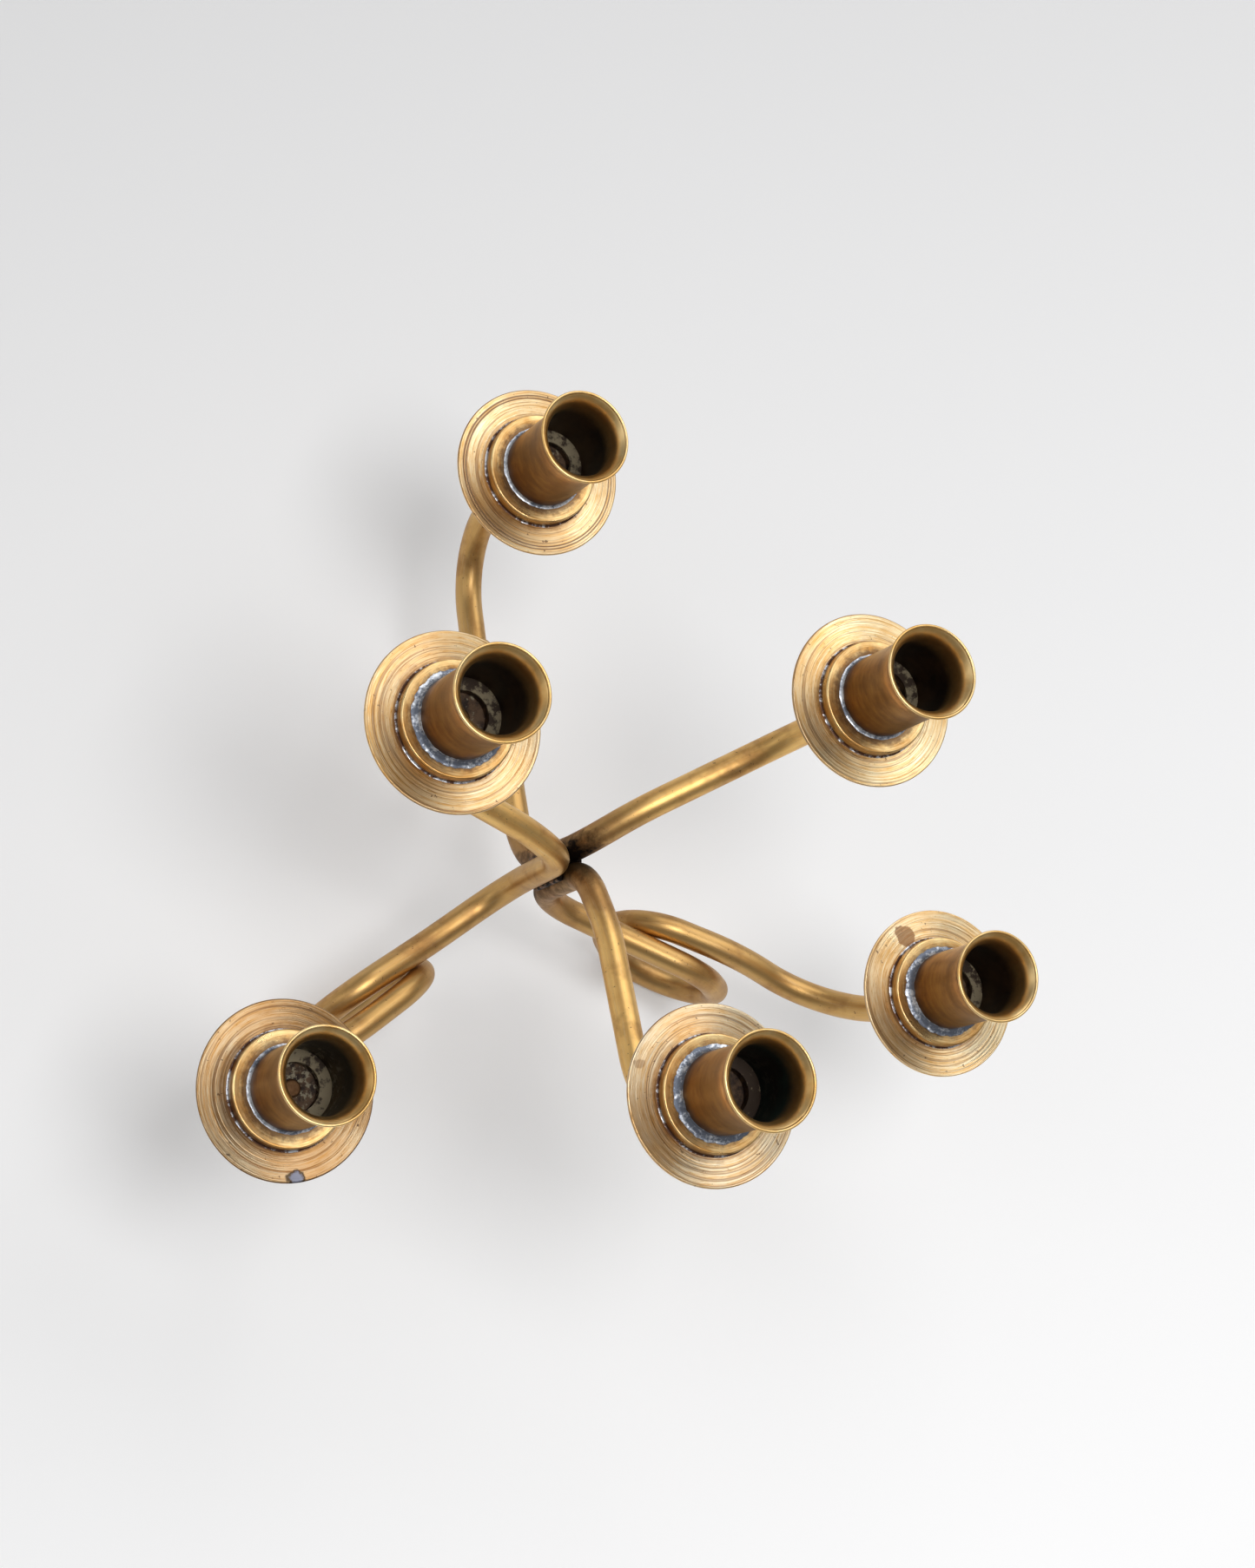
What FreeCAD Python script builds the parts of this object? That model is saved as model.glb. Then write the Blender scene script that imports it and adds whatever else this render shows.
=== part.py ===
import FreeCAD, Part
import math
import os

import Sketcher

# Tabletop candelabra. Three bent brass rods meet in a bundle on the axis. Each rod carries a high
# cup at one end and a low cup at the other, and lies on the table with the loop between them.
# Origin: on the axis, at the table. +Z up, out of the cups. Millimetres and degrees.

os.makedirs("parts", exist_ok=True)
doc = FreeCAD.newDocument("candelabra")

# Driving dimensions. Heights are above the table, reaches are from the axis, turns are about it.
sizes = {
    "rod_diameter": 8,
    "bundle_gap": 0.1,
    "high_cup_height": 151.5,
    "low_cup_height": 99,
    # corners of a rod, from its high cup to its low cup; drops are below the dish it ends at
    "stem_reach": 73, "stem_turn": -84, "stem_drop": 43, "stem_bend": 22,
    "neck_reach": 21, "neck_turn": -77, "neck_drop": 56.5, "neck_bend": 60,
    "waist_turn": -52, "waist_drop": 65.5, "waist_bend": 13,
    "hip_turn": -41.5, "hip_height": 43.5, "hip_bend": 17,
    "thigh_reach": 32.5, "thigh_turn": -24.5, "thigh_height": 40.5, "thigh_bend": 60,
    "shin_reach": 74.5, "shin_turn": -16.5, "shin_height": 44.5, "shin_bend": 85,
    "knee_reach": 116, "knee_turn": -20, "knee_drop": 62, "knee_bend": 26,
    # round loop of the foot, between thigh and shin
    "loop_reach": 58, "loop_turn": -20, "loop_plane_turn": -19.5, "loop_radius": 19.5,
    "loop_lean": -0.2,
    "loop_pass": 12,
    # how each hand-bent arm differs from the common rod
    "arm_1_turn": 3, "arm_1_high_turn": -0.5, "arm_1_high_reach": 3.5, "arm_1_low_reach": 1,
    "arm_2_turn": -0.5, "arm_2_high_turn": -3.5, "arm_2_high_reach": 0, "arm_2_low_reach": -3.5,
    "arm_3_turn": -1, "arm_3_high_turn": 8, "arm_3_high_reach": -6, "arm_3_low_reach": 1,
    # cup pieces, all turned; the collar's ledge and the lip's flare are beyond the tube's outside
    "dish_diameter": 50,
    "dish_thickness": 1,
    "dish_edge": 0.35,
    "collar_ledge": 4.75,
    "collar_height": 3.7,
    "collar_edge": 0.5,
    "spigot_height": 4.3,
    "recess_diameter": 13.6,
    "recess_depth": 3,
    "tube_diameter": 23,
    "tube_wall": 1.2,
    "seat_relief": 0.3,
    "tube_length": 31,
    "flare_height": 9,
    "funnel_depth": 4.5,
    "lip_flare": 2,
    "lip_thickness": 0.9,
    "tenon_diameter": 5,
    "tenon_head": 0.6,
    "fit_clearance": 0.05,
    # solder
    "tube_solder_wide": 1.9,
    "tube_solder_thin": 0.8,
    "dish_solder": 0.5,
    "rod_solder": 2.2,
    "seam_diameter": 4.2,
}
sheet = doc.addObject("Spreadsheet::Sheet", "sizes")
for row, (name, value) in enumerate(sizes.items(), start=1):
    sheet.set(f"A{row}", name)
    sheet.set(f"B{row}", str(value))
    sheet.setAlias(f"B{row}", name)
doc.recompute()

arm_count = 3
arm_step = 360 / arm_count
loop_bends = 6
wide_solder = ("high_1", "low_1", "high_3")
finished = []


def size(formula):
    # value of a formula written with the sheet's names, such as "sizes.tube_wall * 2"
    return float(sheet.evalExpression(formula))


def bind(thing, **formulas):
    for name, formula in formulas.items():
        thing.setExpression(name, formula)


def polar(reach, turn, height):
    angle = math.radians(turn)
    return FreeCAD.Vector(reach * math.cos(angle), reach * math.sin(angle), height)


# ---- rods ----

def loop_corners(swing):
    # corners round the foot loop: once round from its top, outward first, with a steady drift
    # sideways so that the rod passes itself; its lowest side lies on the table
    plane = math.radians(size("sizes.loop_plane_turn") + swing)
    outward = FreeCAD.Vector(math.cos(plane), math.sin(plane), 0)
    sideways = FreeCAD.Vector(-math.sin(plane), math.cos(plane), 0)
    upward = FreeCAD.Vector(0, 0, 1)
    radius = size("sizes.loop_radius")
    centre = polar(size("sizes.loop_reach"), size("sizes.loop_turn") + swing,
                   size("sizes.rod_diameter / 2 + sizes.loop_radius"))
    to_corner = radius / math.cos(math.pi / loop_bends)
    corners = []
    for step in range(loop_bends):
        progress = (step + 0.5) / loop_bends
        across = to_corner * math.sin(2 * math.pi * progress)
        height = to_corner * math.cos(2 * math.pi * progress)
        drift = size("sizes.loop_pass") * (progress - 0.5)
        lean = size("sizes.loop_lean") * height
        point = centre + outward * (across + lean) + sideways * drift + upward * height
        corners.append((point, radius))
    return corners


def rod_corners(arm):
    # both ends of one rod's centreline, and each corner between them with its bend radius
    own = f"sizes.arm_{arm}_"
    base = (arm - 1) * arm_step
    swing = base + size(own + "turn")
    high_turn = size(own + "high_turn")
    high_reach = size(own + "high_reach")
    low_reach = size(own + "low_reach")
    high_seat = size("sizes.high_cup_height - sizes.dish_thickness")
    low_seat = size("sizes.low_cup_height - sizes.dish_thickness")
    # neighbouring rods of the bundle stand one diameter and the gap apart
    bundle_reach = size("(sizes.rod_diameter + sizes.bundle_gap) / sqrt(3)")

    def corner(name, reach, turn, height):
        turn += size(f"sizes.{name}_turn")
        return polar(reach, turn, height), size(f"sizes.{name}_bend")

    stem = corner("stem", size("sizes.stem_reach") + high_reach, swing + high_turn,
                  high_seat - size("sizes.stem_drop"))
    neck = corner("neck", size("sizes.neck_reach") + high_reach / 2, swing + high_turn / 2,
                  high_seat - size("sizes.neck_drop"))
    waist = corner("waist", bundle_reach, base, high_seat - size("sizes.waist_drop"))
    hip = corner("hip", bundle_reach, base, size("sizes.hip_height"))
    thigh = corner("thigh", size("sizes.thigh_reach"), swing, size("sizes.thigh_height"))
    shin = corner("shin", size("sizes.shin_reach"), swing, size("sizes.shin_height"))
    knee = corner("knee", size("sizes.knee_reach") + low_reach, swing,
                  low_seat - size("sizes.knee_drop"))
    start = FreeCAD.Vector(stem[0].x, stem[0].y, high_seat)
    end = FreeCAD.Vector(knee[0].x, knee[0].y, low_seat)
    corners = [stem, neck, waist, hip, thigh] + loop_corners(swing) + [shin, knee]
    return start, corners, end


def bent_wire(start, corners, end):
    # straight runs joined by tangent arcs; bends that share a short run are eased to fit it
    points = [start] + [point for point, bend in corners] + [end]
    runs = [(after - before) for before, after in zip(points, points[1:])]
    tangents = [0]
    for (point, bend), before, after in zip(corners, runs, runs[1:]):
        tangents.append(bend * math.tan(before.getAngle(after) / 2))
    tangents.append(0)
    straight = 0.02
    shares = []
    for run, first, second in zip(runs, tangents, tangents[1:]):
        shares.append(min(1, run.Length * (1 - straight) / (first + second)))
    edges = []
    last = start
    for index in range(1, len(points) - 1):
        tangent = tangents[index] * min(shares[index - 1], shares[index])
        before = FreeCAD.Vector(runs[index - 1]).normalize()
        after = FreeCAD.Vector(runs[index]).normalize()
        enter = points[index] - before * tangent
        leave = points[index] + after * tangent
        half = before.getAngle(after) / 2
        radius = tangent / math.tan(half)
        inward = FreeCAD.Vector(after - before).normalize()
        middle = points[index] + inward * (radius / math.cos(half) - radius)
        edges.append(Part.LineSegment(last, enter).toShape())
        edges.append(Part.Arc(enter, middle, leave).toShape())
        last = leave
    edges.append(Part.LineSegment(last, end).toShape())
    return Part.Wire(edges)


def tenon(label, shoulder):
    # the rod's end turned down, passing through dish and collar into the cup's floor
    pin = doc.addObject("Part::Cylinder", label)
    bind(pin, Radius="sizes.tenon_diameter / 2",
         Height="sizes.dish_thickness + sizes.collar_height + sizes.spigot_height"
                " - sizes.recess_depth + sizes.tenon_head")
    pin.Placement = FreeCAD.Placement(shoulder, FreeCAD.Rotation())
    return pin


def bent_rod(arm):
    label = f"bent_rod_{arm}"
    start, corners, end = rod_corners(arm)
    route = doc.addObject("Part::Feature", label + "_route")
    route.Shape = bent_wire(start, corners, end)
    section = doc.addObject("Part::Circle", label + "_section")
    bind(section, Radius="sizes.rod_diameter / 2")
    section.Placement = FreeCAD.Placement(start, FreeCAD.Rotation())
    sweep = doc.addObject("Part::Sweep", label + "_sweep")
    sweep.Sections = [section]
    sweep.Spine = (route, [f"Edge{n + 1}" for n in range(len(route.Shape.Edges))])
    sweep.Solid = True
    sweep.Frenet = False
    rod = doc.addObject("Part::MultiFuse", label)
    rod.Shapes = [sweep, tenon(label + "_high_tenon", start), tenon(label + "_low_tenon", end)]
    finished.append(rod)
    return start, end


# ---- turned pieces ----

def turned(label, outline, place):
    # outline: (radius, height, bend) for each corner; bend is None for a straight side to the
    # next corner, or (radius, side) for an arc whose centre lies to that side, +1 left, -1 right
    body = doc.addObject("PartDesign::Body", label)
    sketch = body.newObject("Sketcher::SketchObject", label + "_outline")
    plane = [item for item in body.Origin.OriginFeatures if item.Role == "XZ_Plane"][0]
    sketch.AttachmentSupport = [(plane, "")]
    sketch.MapMode = "FlatFace"
    points = [FreeCAD.Vector(size(radius), size(height), 0) for radius, height, bend in outline]
    ends = []
    for index, (radius, height, bend) in enumerate(outline):
        first = points[index]
        second = points[(index + 1) % len(points)]
        if bend is None:
            sketch.addGeometry(Part.LineSegment(first, second))
            ends.append((1, 2))
            continue
        chord = second - first
        arc_radius = size(bend[0])
        sideways = FreeCAD.Vector(-chord.y, chord.x, 0).normalize()
        offset = math.sqrt(max(arc_radius ** 2 - (chord.Length / 2) ** 2, 0))
        centre = (first + second) / 2 + sideways * offset * bend[1]
        angles = [math.atan2(p.y - centre.y, p.x - centre.x) for p in (first, second)]
        circle = Part.Circle(centre, FreeCAD.Vector(0, 0, 1), arc_radius)
        # a sketch arc runs anticlockwise, so with its centre on the right it is drawn backwards
        if bend[1] > 0:
            sketch.addGeometry(Part.ArcOfCircle(circle, angles[0], angles[1]))
            ends.append((1, 2))
        else:
            sketch.addGeometry(Part.ArcOfCircle(circle, angles[1], angles[0]))
            ends.append((2, 1))
    constrain(sketch, outline, points, ends)
    turning = body.newObject("PartDesign::Revolution", label + "_turning")
    turning.Profile = sketch
    turning.ReferenceAxis = (sketch, ["V_Axis"])
    turning.Angle = 360
    body.Placement = FreeCAD.Placement(place, FreeCAD.Rotation())
    finished.append(body)
    return body


def constrain(sketch, outline, points, ends):
    # ties every corner and arc of an outline to the sheet
    origin, x_axis = -1, -1
    for index, (radius, height, bend) in enumerate(outline):
        before = index - 1 if index else len(outline) - 1
        sketch.addConstraint(Sketcher.Constraint("Coincident", before, ends[before][1],
                                                 index, ends[index][0]))
        named = [("DistanceX", points[index].x, radius)]
        if points[index].y:
            named.append(("DistanceY", points[index].y, height))
        else:
            sketch.addConstraint(Sketcher.Constraint("PointOnObject", index, ends[index][0], x_axis))
        for kind, value, formula in named:
            number = sketch.addConstraint(Sketcher.Constraint(kind, origin, 1, index,
                                                              ends[index][0], value))
            sketch.renameConstraint(number, f"{kind}_{index}")
            sketch.setExpression(f"Constraints.{kind}_{index}", formula)
        if bend is not None:
            number = sketch.addConstraint(Sketcher.Constraint("Radius", index, size(bend[0])))
            sketch.renameConstraint(number, f"Arc_{index}")
            sketch.setExpression(f"Constraints.Arc_{index}", bend[0])


tenon_hole = "sizes.tenon_diameter / 2 + sizes.fit_clearance"
dish_radius = "sizes.dish_diameter / 2"
tube_radius = "sizes.tube_diameter / 2"
collar_radius = "(sizes.tube_diameter / 2 + sizes.collar_ledge)"
bore_radius = "(sizes.tube_diameter / 2 - sizes.tube_wall)"
seat_radius = bore_radius + " + sizes.seat_relief"
spigot_radius = seat_radius + " - sizes.fit_clearance"
lip_radius = "(sizes.tube_diameter / 2 + sizes.lip_flare)"


def dish(label, place):
    # flat drip dish with softened edges; its lower face is at the rod's shoulder
    edge = "sizes.dish_edge"
    turned(label, [
        (tenon_hole, "0", None),
        (f"{dish_radius} - {edge}", "0", (edge, 1)),
        (dish_radius, edge, None),
        (dish_radius, f"sizes.dish_thickness - {edge}", (edge, 1)),
        (f"{dish_radius} - {edge}", "sizes.dish_thickness", None),
        (tenon_hole, "sizes.dish_thickness", None),
    ], place)


def collar(label, place):
    # flange that the tube stands on, and a hollow spigot that centres it and makes its floor
    edge = "sizes.collar_edge"
    spigot_top = "sizes.collar_height + sizes.spigot_height"
    recess_floor = f"{spigot_top} - sizes.recess_depth"
    turned(label, [
        (tenon_hole, "0", None),
        (collar_radius, "0", None),
        (collar_radius, f"sizes.collar_height - {edge}", (edge, 1)),
        (f"{collar_radius} - {edge}", "sizes.collar_height", None),
        (spigot_radius, "sizes.collar_height", None),
        (spigot_radius, spigot_top, None),
        ("sizes.recess_diameter / 2", spigot_top, None),
        ("sizes.recess_diameter / 2", recess_floor, None),
        (tenon_hole, recess_floor, None),
    ], place)


def tube(label, place):
    # straight candle tube whose foot is relieved for the spigot and whose mouth flares to a lip;
    # its bore opens in a shorter funnel than the flare outside
    flare_start = "(sizes.tube_length - sizes.flare_height)"
    funnel_start = "(sizes.tube_length - sizes.funnel_depth)"
    lip_inside = f"({lip_radius} - sizes.lip_thickness)"
    lip_height = "(sizes.tube_length - sizes.lip_thickness / 2)"

    def flare(inner, outer, foot):
        # radius of an arc that leaves the wall upright at its foot and reaches the lip
        return f"(({lip_height} - {foot})^2 + ({outer} - {inner})^2) / (2 * ({outer} - {inner}))"

    relief_top = "sizes.spigot_height + sizes.fit_clearance"
    turned(label, [
        (seat_radius, "0", None),
        (tube_radius, "0", None),
        (tube_radius, flare_start, (flare(tube_radius, lip_radius, flare_start), -1)),
        (lip_radius, lip_height, ("sizes.lip_thickness / 2", 1)),
        (lip_radius + " - sizes.lip_thickness / 2", "sizes.tube_length", ("sizes.lip_thickness / 2", 1)),
        (lip_inside, lip_height, (flare(bore_radius, lip_inside, funnel_start), 1)),
        (bore_radius, funnel_start, None),
        (bore_radius, relief_top, None),
        (seat_radius, relief_top, None),
    ], place)


def solder_ring(label, inner, run, place):
    # hollow-faced fillet of solder between an upright wall and the face below it
    wall = f"{inner} + sizes.fit_clearance"
    foot = "sizes.fit_clearance"
    turned(label, [
        (wall, "0", None),
        (f"{wall} + {run}", "0", None),
        (f"{wall} + {run}", foot, (f"{run} * 1.1", -1)),
        (f"{wall} + {foot}", run, None),
        (wall, run, None),
    ], place)


def hanging_ring(label, inner, run, place):
    # the same fillet upside down, between the rod's end and the dish above it
    wall = f"{inner} + sizes.fit_clearance"
    foot = "sizes.fit_clearance"
    turned(label, [
        (wall, "0", None),
        (f"{wall} + {foot}", "0", (f"{run} * 1.1", -1)),
        (f"{wall} + {run}", f"{run} - {foot}", None),
        (f"{wall} + {run}", run, None),
        (wall, run, None),
    ], place)


def candle_holder(level, arm, seat):
    # one dish, collar and tube, with the three solder rings that join them to the rod
    tag = f"{level}_{arm}"
    up = FreeCAD.Vector(0, 0, 1)
    on_dish = seat + up * size("sizes.dish_thickness")
    on_collar = on_dish + up * size("sizes.collar_height")
    dish(f"drip_dish_{tag}", seat)
    collar(f"collar_{tag}", on_dish)
    tube(f"candle_tube_{tag}", on_collar)
    width = "sizes.tube_solder_wide" if tag in wide_solder else "sizes.tube_solder_thin"
    solder_ring(f"tube_solder_{tag}", tube_radius, width, on_collar)
    solder_ring(f"dish_solder_{tag}", collar_radius, "sizes.dish_solder", on_dish)
    hanging_ring(f"rod_solder_{tag}", "sizes.rod_diameter / 2", "sizes.rod_solder",
                 seat - up * size("sizes.rod_solder"))


# ---- brazed bundle ----

def bundle_run(arm):
    # top and foot of the straight run between a rod's waist and hip bends
    bends_before = 3
    straight = bent_wire(*rod_corners(arm)).Edges[2 * bends_before]
    return straight.Vertexes[0].Point, straight.Vertexes[-1].Point


def seam(arm):
    # bead of braze in the outer groove between this rod and the next one, along their straight runs
    following = arm % arm_count + 1
    own_top, own_foot = bundle_run(arm)
    next_top, next_foot = bundle_run(following)
    top = (own_top + next_top) / 2
    foot = (own_foot + next_foot) / 2
    axis = top - foot
    label = f"bundle_braze_{arm}"
    bead = doc.addObject("Part::Cylinder", label + "_bead")
    bind(bead, Radius="sizes.seam_diameter / 2")
    bead.Height = axis.Length
    outward = FreeCAD.Vector(foot.x + top.x, foot.y + top.y, 0).normalize()
    groove = outward * size("sizes.seam_diameter / 2")
    bead.Placement = FreeCAD.Placement(foot + groove, FreeCAD.Rotation(FreeCAD.Vector(0, 0, 1), axis))
    rods = []
    for name, rod_foot, rod_top in (("own", own_foot, own_top), ("next", next_foot, next_top)):
        run = FreeCAD.Vector(rod_top - rod_foot).normalize()
        room = doc.addObject("Part::Cylinder", f"{label}_{name}_rod")
        bind(room, Radius="sizes.rod_diameter / 2 + sizes.fit_clearance / 2")
        room.Height = 3 * axis.Length
        room.Placement = FreeCAD.Placement(rod_foot - run * axis.Length,
                                           FreeCAD.Rotation(FreeCAD.Vector(0, 0, 1), run))
        rods.append(room)
    both = doc.addObject("Part::MultiFuse", label + "_rods")
    both.Shapes = rods
    braze = doc.addObject("Part::Cut", label)
    braze.Base = bead
    braze.Tool = both
    finished.append(braze)


for arm in range(1, arm_count + 1):
    high_seat, low_seat = bent_rod(arm)
    candle_holder("high", arm, high_seat)
    candle_holder("low", arm, low_seat)
for arm in range(1, arm_count + 1):
    seam(arm)
doc.recompute()

# ---- checks, then one file for each piece ----

for item in doc.Objects:
    if "Invalid" in item.State or "Error" in item.State:
        raise RuntimeError(f"{item.Label} failed: {item.State}")
for piece in finished:
    if piece.Shape.isNull() or not piece.Shape.isValid() or not piece.Shape.Solids:
        raise RuntimeError(f"{piece.Label} has no sound shape")
for piece in finished:
    piece.Shape.exportStep(f"parts/{piece.Label}.step")
print(len(finished), "pieces")
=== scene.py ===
import math
import random

import bmesh
import bpy
from mathutils import Matrix, Vector


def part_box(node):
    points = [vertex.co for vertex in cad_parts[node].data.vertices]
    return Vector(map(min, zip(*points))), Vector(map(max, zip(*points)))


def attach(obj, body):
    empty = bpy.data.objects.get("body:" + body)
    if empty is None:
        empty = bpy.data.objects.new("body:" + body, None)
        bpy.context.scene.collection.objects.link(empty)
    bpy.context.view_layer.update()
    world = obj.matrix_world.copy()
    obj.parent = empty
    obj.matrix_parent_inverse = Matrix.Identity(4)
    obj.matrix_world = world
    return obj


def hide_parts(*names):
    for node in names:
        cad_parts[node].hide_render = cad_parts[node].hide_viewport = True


# Brass candelabra of three bent rods with six candle cups. Blender's lengths are metres; the
# dictionaries hold millimetres and degrees, unless a note beside them says otherwise.

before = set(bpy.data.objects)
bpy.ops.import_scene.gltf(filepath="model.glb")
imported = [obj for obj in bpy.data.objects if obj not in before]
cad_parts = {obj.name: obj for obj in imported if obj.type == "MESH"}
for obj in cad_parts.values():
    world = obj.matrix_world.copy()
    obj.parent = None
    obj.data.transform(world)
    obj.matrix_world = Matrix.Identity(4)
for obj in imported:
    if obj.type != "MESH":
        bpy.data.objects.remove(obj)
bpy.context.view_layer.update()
scene = bpy.context.scene
mm = 0.001
arms = (1, 2, 3)
cupTags = [f"{level}_{arm}" for arm in arms for level in ("high", "low")]
print("frame loaded")


# camera, above the cups and looking down on them

view = {"place": (-353.13, -177.28, 902.42), "aim": (-2.64, 13.42, 127.06), "roll": 64.18,
        "lens": 71.76, "sensor": 36}


def addCamera():
    data = bpy.data.cameras.new("camera")
    data.sensor_fit = "AUTO"
    data.sensor_width = view["sensor"]
    data.lens = view["lens"]
    camera = bpy.data.objects.new("camera", data)
    scene.collection.objects.link(camera)
    place = Vector(view["place"]) * mm
    aim = Vector(view["aim"]) * mm
    facing = (aim - place).to_track_quat("-Z", "Y").to_matrix()
    roll = Matrix.Rotation(math.radians(view["roll"]), 3, "Z")
    camera.matrix_world = Matrix.Translation(place) @ (facing @ roll).to_4x4()
    scene.camera = camera


addCamera()
print("camera placed")


# small helpers for node trees

def addNode(tree, kind, values=None, **settings):
    item = tree.nodes.new(kind)
    for key, value in settings.items():
        setattr(item, key, value)
    for key, value in (values or {}).items():
        if isinstance(value, bpy.types.NodeSocket):
            tree.links.new(value, item.inputs[key])
        else:
            item.inputs[key].default_value = value
    return item


def calc(tree, operation, first, second=0.0, third=0.0):
    values = {0: first, 1: second, 2: third}
    return addNode(tree, "ShaderNodeMath", values, operation=operation).outputs[0]


def add(tree, *values):
    total = values[0]
    for value in values[1:]:
        total = calc(tree, "ADD", total, value)
    return total


def weigh(tree, *parts):
    # adds up (value, weight) pairs
    return add(tree, *[calc(tree, "MULTIPLY", value, weight) for value, weight in parts])


def wobble(tree, pattern, swing):
    # a length that wanders with a pattern, by a swing in millimetres
    return calc(tree, "MULTIPLY", calc(tree, "SUBTRACT", pattern, 0.5), swing * mm)


def vectorCalc(tree, operation, first, second=(0, 0, 0)):
    item = addNode(tree, "ShaderNodeVectorMath", {0: first, 1: second}, operation=operation)
    return item.outputs["Value" if operation in ("LENGTH", "DISTANCE") else "Vector"]


def joinVector(tree, x=0.0, y=0.0, z=0.0):
    return addNode(tree, "ShaderNodeCombineXYZ", {"X": x, "Y": y, "Z": z}).outputs[0]


def splitVector(tree, vector):
    return addNode(tree, "ShaderNodeSeparateXYZ", {"Vector": vector}).outputs


def axisReach(tree, vector):
    x, y, _ = splitVector(tree, vector)
    return vectorCalc(tree, "LENGTH", joinVector(tree, x, y))


def remap(tree, value, low, high, toLow=0.0, toHigh=1.0, smooth=False):
    values = {"Value": value, "From Min": low, "From Max": high, "To Min": toLow, "To Max": toHigh}
    kind = "SMOOTHSTEP" if smooth else "LINEAR"
    return addNode(tree, "ShaderNodeMapRange", values, interpolation_type=kind).outputs[0]


def mask(tree, value, band, unit=1.0, smooth=False):
    # a band is (where it starts, where it is full, how strong it gets)
    start, full, strength = band
    return remap(tree, value, start * unit, full * unit, 0.0, strength, smooth)


def noise(tree, vector, scale, detail, roughness, shift=None):
    values = {"Vector": vector, "Scale": scale, "Detail": detail, "Roughness": roughness}
    if shift is None:
        return addNode(tree, "ShaderNodeTexNoise", values).outputs[0]
    values["W"] = shift
    return addNode(tree, "ShaderNodeTexNoise", values, noise_dimensions="4D").outputs[0]


def ringNoise(tree, turned, across, around, detail, roughness, shift=0.0):
    # a pattern in rings: fine across the turning marks, long around them
    x, y, z = splitVector(tree, turned)
    flat = joinVector(tree, x, y)
    aimX, aimY, _ = splitVector(tree, vectorCalc(tree, "NORMALIZE", flat))
    level = add(tree, calc(tree, "MULTIPLY", z, across), shift)
    depth = add(tree, calc(tree, "MULTIPLY", vectorCalc(tree, "LENGTH", flat), across), level)
    x, y = calc(tree, "MULTIPLY", aimX, around), calc(tree, "MULTIPLY", aimY, around)
    return noise(tree, joinVector(tree, x, y, depth), 1.0, detail, roughness)


def blend(tree, factor, first, second, kind="MIX"):
    # colours are three numbers or another node's output
    first, second = [(*hue, 1) if isinstance(hue, tuple) else hue for hue in (first, second)]
    values = {0: factor, 6: first, 7: second}
    return addNode(tree, "ShaderNodeMix", values, data_type="RGBA", blend_type=kind).outputs[2]


def attribute(tree, name):
    return addNode(tree, "ShaderNodeAttribute", None, attribute_name=name).outputs["Vector"]


def objectPlace(tree):
    return addNode(tree, "ShaderNodeTexCoord").outputs["Object"]


def startMaterial(name, metallic=1.0, anisotropic=0.0):
    material = bpy.data.materials.new(name)
    material.use_nodes = True
    shader = material.node_tree.nodes["Principled BSDF"]
    shader.inputs["Metallic"].default_value = metallic
    shader.inputs["Anisotropic"].default_value = anisotropic
    return material, material.node_tree, shader


def setSurface(tree, shader, colour, roughness, height, relief):
    # relief is the depth of the bumps and their strength
    depth, strength = relief
    values = {"Height": height, "Distance": depth * mm, "Strength": strength}
    normal = addNode(tree, "ShaderNodeBump", values).outputs[0]
    for key, value in (("Base Color", colour), ("Roughness", roughness), ("Normal", normal)):
        tree.links.new(value, shader.inputs[key])


def alongRings(tree, shader, turned):
    # the highlight runs across the turning marks
    aim = vectorCalc(tree, "NORMALIZE", vectorCalc(tree, "CROSS_PRODUCT", (0, 0, 1), turned))
    tree.links.new(aim, shader.inputs["Tangent"])


# materials. A pattern is (scale, detail, roughness) of its noise, a ring pattern starts with its
# fineness across the rings and around them, and a band is as mask takes it. Bands named after a
# height, a reach from the cup's axis or a length are in millimetres. Roughness is (two levels of the
# cloudy pattern, the roughness at each).

patina = {"cream": (0.86, 0.775, 0.545), "pale": (0.84, 0.62, 0.30), "gold": (0.70, 0.425, 0.145),
          "honey": (0.84, 0.545, 0.195), "amber": (0.67, 0.355, 0.080), "orange": (0.57, 0.300, 0.090),
          "brown": (0.25, 0.125, 0.055), "umber": (0.115, 0.060, 0.040), "soot": (0.014, 0.010, 0.008),
          "silver": (0.68, 0.71, 0.76), "lead": (0.17, 0.19, 0.235), "slate": (0.125, 0.130, 0.165)}

rodFinish = {"streaks": (8, 4, 0.65), "stretch": 14, "clouds": (55, 4, 0.6), "blooms": (160, 3, 0.6),
             "specks": (900, 2, 0.6), "ragged": (320, 4, 0.65), "tone": (0.40, 0.66, 1),
             "shine": (0.52, 0.68, 0.6), "tarnish": (0.50, 0.62, 0.45), "pits": (0.68, 0.74, 0.7),
             "headHeight": (3.0, 4.5, 1), "dirtAndShade": (0.40, 0.60, 1),
             "dirtAndShadeHues": ((0.16, 0.10, 0.055), (0.035, 0.022, 0.014)), "wander": 60,
             "paintedShadeHeight": (100, 25, 0.52), "paintedShadeLength": (26, 4, 0.55), "scorchWander": 14,
             "burntReach": (9.5, 3.0), "tannedReach": (24, 7), "tannedShare": 0.75,
             "roughness": (0.3, 0.7, 0.38, 0.46), "relief": (0.03, 0.4)}


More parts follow.
